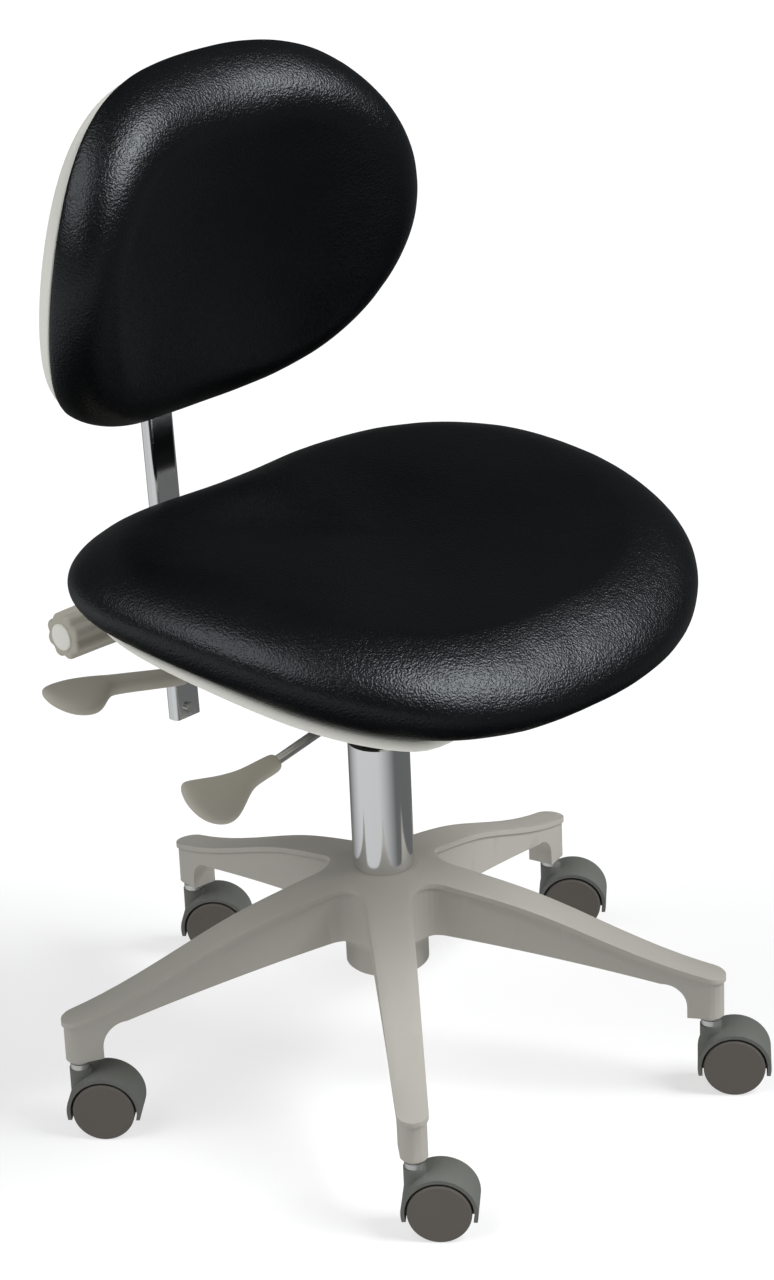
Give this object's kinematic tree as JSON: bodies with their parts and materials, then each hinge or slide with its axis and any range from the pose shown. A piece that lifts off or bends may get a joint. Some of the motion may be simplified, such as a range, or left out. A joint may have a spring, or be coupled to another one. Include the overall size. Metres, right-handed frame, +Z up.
{
  "type": "dentist stool",
  "caption": "Operator's swivel stool with a contoured seat, tilting and height-adjustable backrest, gas-lift column and a star base on casters.",
  "frame": {"origin": "on the floor, on the axis of the gas column", "axes": "+Z up, -Y towards the sitter's front, +X to the sitter's left"},
  "size_m": [0.574, 0.5654, 0.8275],
  "materials": {
    "base_plastic": "satin moulded, fine texture",
    "caster_hood": "satin moulded",
    "caster_wheel": "satin moulded",
    "lever_plastic": "satin moulded",
    "shell_plastic": "fine matt texture",
    "black_plastic": "matt",
    "chrome": "bright polished plate",
    "steel": "zinc plated",
    "black_paint": "satin powder coat",
    "plywood": "raw birch plywood",
    "leather": "semi-gloss upholstery with a fine grain"
  },
  "bodies": {
    "base": {"base_spider": "base_plastic", "column_tube": "chrome", "guide_bush": "black_plastic", "thrust_bearing": "steel"},
    "rod": {"piston_rod": "steel", "rod_clip": "steel"},
    "seat": {"gas_cylinder": "black_paint", "mechanism_housing": "black_paint", "seat_plate": "black_paint", "cross_bolts": "steel", "back_pivot_pin": "steel", "lever_pins": "steel", "friction_washers": "steel", "seat_pan": "shell_plastic", "seat_board": "plywood", "seat_screws": "steel", "seat_cushion": "leather"},
    "button": {"release_button": "steel"},
    "height_lever": {"height_lever_rod": "steel", "height_paddle": "lever_plastic"},
    "tilt_lever": {"tilt_lever_rod": "steel", "tilt_paddle": "lever_plastic"},
    "back_arm": {"back_arm": "black_paint", "post_sleeve": "lever_plastic"},
    "knob": {"clamp_knob": "lever_plastic", "knob_cap": "lever_plastic", "knob_stud": "steel"},
    "backrest": {"back_post": "chrome", "post_stop_screw": "steel", "back_bracket": "black_paint", "back_board": "plywood", "back_screws": "steel", "back_shell": "shell_plastic", "back_cushion": "leather"},
    "caster_1": {"caster_1_stem": "steel", "caster_1_hood": "caster_hood", "caster_1_axle": "steel"},
    "caster_1_left": {"caster_1_wheel_a": "caster_wheel"},
    "caster_1_right": {"caster_1_wheel_b": "caster_wheel"},
    "caster_2": {"caster_2_stem": "steel", "caster_2_hood": "caster_hood", "caster_2_axle": "steel"},
    "caster_2_left": {"caster_2_wheel_a": "caster_wheel"},
    "caster_2_right": {"caster_2_wheel_b": "caster_wheel"},
    "caster_3": {"caster_3_stem": "steel", "caster_3_hood": "caster_hood", "caster_3_axle": "steel"},
    "caster_3_left": {"caster_3_wheel_a": "caster_wheel"},
    "caster_3_right": {"caster_3_wheel_b": "caster_wheel"},
    "caster_4": {"caster_4_stem": "steel", "caster_4_hood": "caster_hood", "caster_4_axle": "steel"},
    "caster_4_left": {"caster_4_wheel_a": "caster_wheel"},
    "caster_4_right": {"caster_4_wheel_b": "caster_wheel"},
    "caster_5": {"caster_5_stem": "steel", "caster_5_hood": "caster_hood", "caster_5_axle": "steel"},
    "caster_5_left": {"caster_5_wheel_a": "caster_wheel"},
    "caster_5_right": {"caster_5_wheel_b": "caster_wheel"}
  },
  "joints": [
    {"name": "seat_swivel", "type": "hinge", "parent": "base", "child": "rod", "pos_m": [0, 0, 0.11], "axis": [0, 0, 1], "continuous": true},
    {"name": "seat_lift", "type": "slide", "parent": "rod", "child": "seat", "axis": [0, 0, 1], "range_m": [0, 0.12]},
    {"name": "height_lever_lift", "type": "hinge", "parent": "seat", "child": "height_lever", "pos_m": [-0.036, 0, 0.334], "axis": [0, 1, 0], "range_deg": [0, 6.5], "stiffness_Nm_per_rad": 3, "springref_deg": -6.88},
    {"name": "button_press", "type": "slide", "parent": "seat", "child": "button", "axis": [0, 0, 1], "range_m": [-0.0045, 0]},
    {"name": "tilt_lever_lift", "type": "hinge", "parent": "seat", "child": "tilt_lever", "pos_m": [-0.04, 0.164, 0.316], "axis": [0, 1, 0], "range_deg": [0, 8], "stiffness_Nm_per_rad": 3, "springref_deg": -6.88},
    {"name": "back_tilt", "type": "hinge", "parent": "seat", "child": "back_arm", "pos_m": [0, 0.142, 0.33], "axis": [-1, 0, 0], "range_deg": [-5, 12]},
    {"name": "knob_turn", "type": "hinge", "parent": "back_arm", "child": "knob", "pos_m": [-0.09, 0.2403, 0.35342], "axis": [-1, 0, 0], "range_deg": [0, 360]},
    {"name": "post_height", "type": "slide", "parent": "back_arm", "child": "backrest", "axis": [0, 0.0384, 0.9993], "range_m": [-0.03, 0.06]},
    {"name": "caster_1_swivel", "type": "hinge", "parent": "base", "child": "caster_1", "pos_m": [0.02336, 0.26698, 0.06], "axis": [0, 0, 1], "continuous": true},
    {"name": "caster_1_left_spin", "type": "hinge", "parent": "caster_1", "child": "caster_1_left", "pos_m": [0.03572, 0.25255, 0.025], "axis": [0.7593, 0.6508, 0], "continuous": true},
    {"name": "caster_1_right_spin", "type": "hinge", "parent": "caster_1", "child": "caster_1_right", "pos_m": [0.03572, 0.25255, 0.025], "axis": [0.7593, 0.6508, 0], "continuous": true},
    {"name": "caster_2_swivel", "type": "hinge", "parent": "base", "child": "caster_2", "pos_m": [-0.24669, 0.10472, 0.06], "axis": [0, 0, 1], "continuous": true},
    {"name": "caster_2_left_spin", "type": "hinge", "parent": "caster_2", "child": "caster_2_left", "pos_m": [-0.23433, 0.09029, 0.025], "axis": [0.7593, 0.6508, 0], "continuous": true},
    {"name": "caster_2_right_spin", "type": "hinge", "parent": "caster_2", "child": "caster_2_right", "pos_m": [-0.23433, 0.09029, 0.025], "axis": [0.7593, 0.6508, 0], "continuous": true},
    {"name": "caster_3_swivel", "type": "hinge", "parent": "base", "child": "caster_3", "pos_m": [-0.17582, -0.20226, 0.06], "axis": [0, 0, 1], "continuous": true},
    {"name": "caster_3_left_spin", "type": "hinge", "parent": "caster_3", "child": "caster_3_left", "pos_m": [-0.16346, -0.21669, 0.025], "axis": [0.7593, 0.6508, 0], "continuous": true},
    {"name": "caster_3_right_spin", "type": "hinge", "parent": "caster_3", "child": "caster_3_right", "pos_m": [-0.16346, -0.21669, 0.025], "axis": [0.7593, 0.6508, 0], "continuous": true},
    {"name": "caster_4_swivel", "type": "hinge", "parent": "base", "child": "caster_4", "pos_m": [0.13803, -0.22972, 0.06], "axis": [0, 0, 1], "continuous": true},
    {"name": "caster_4_left_spin", "type": "hinge", "parent": "caster_4", "child": "caster_4_left", "pos_m": [0.1504, -0.24415, 0.025], "axis": [0.7593, 0.6508, 0], "continuous": true},
    {"name": "caster_4_right_spin", "type": "hinge", "parent": "caster_4", "child": "caster_4_right", "pos_m": [0.1504, -0.24415, 0.025], "axis": [0.7593, 0.6508, 0], "continuous": true},
    {"name": "caster_5_swivel", "type": "hinge", "parent": "base", "child": "caster_5", "pos_m": [0.26113, 0.06029, 0.06], "axis": [0, 0, 1], "continuous": true},
    {"name": "caster_5_left_spin", "type": "hinge", "parent": "caster_5", "child": "caster_5_left", "pos_m": [0.2735, 0.04586, 0.025], "axis": [0.7593, 0.6508, 0], "continuous": true},
    {"name": "caster_5_right_spin", "type": "hinge", "parent": "caster_5", "child": "caster_5_right", "pos_m": [0.2735, 0.04586, 0.025], "axis": [0.7593, 0.6508, 0], "continuous": true}
  ],
  "couplings": [
    {"joint": "button_press", "follows": "height_lever_lift", "m_per_rad": -0.036}
  ]
}
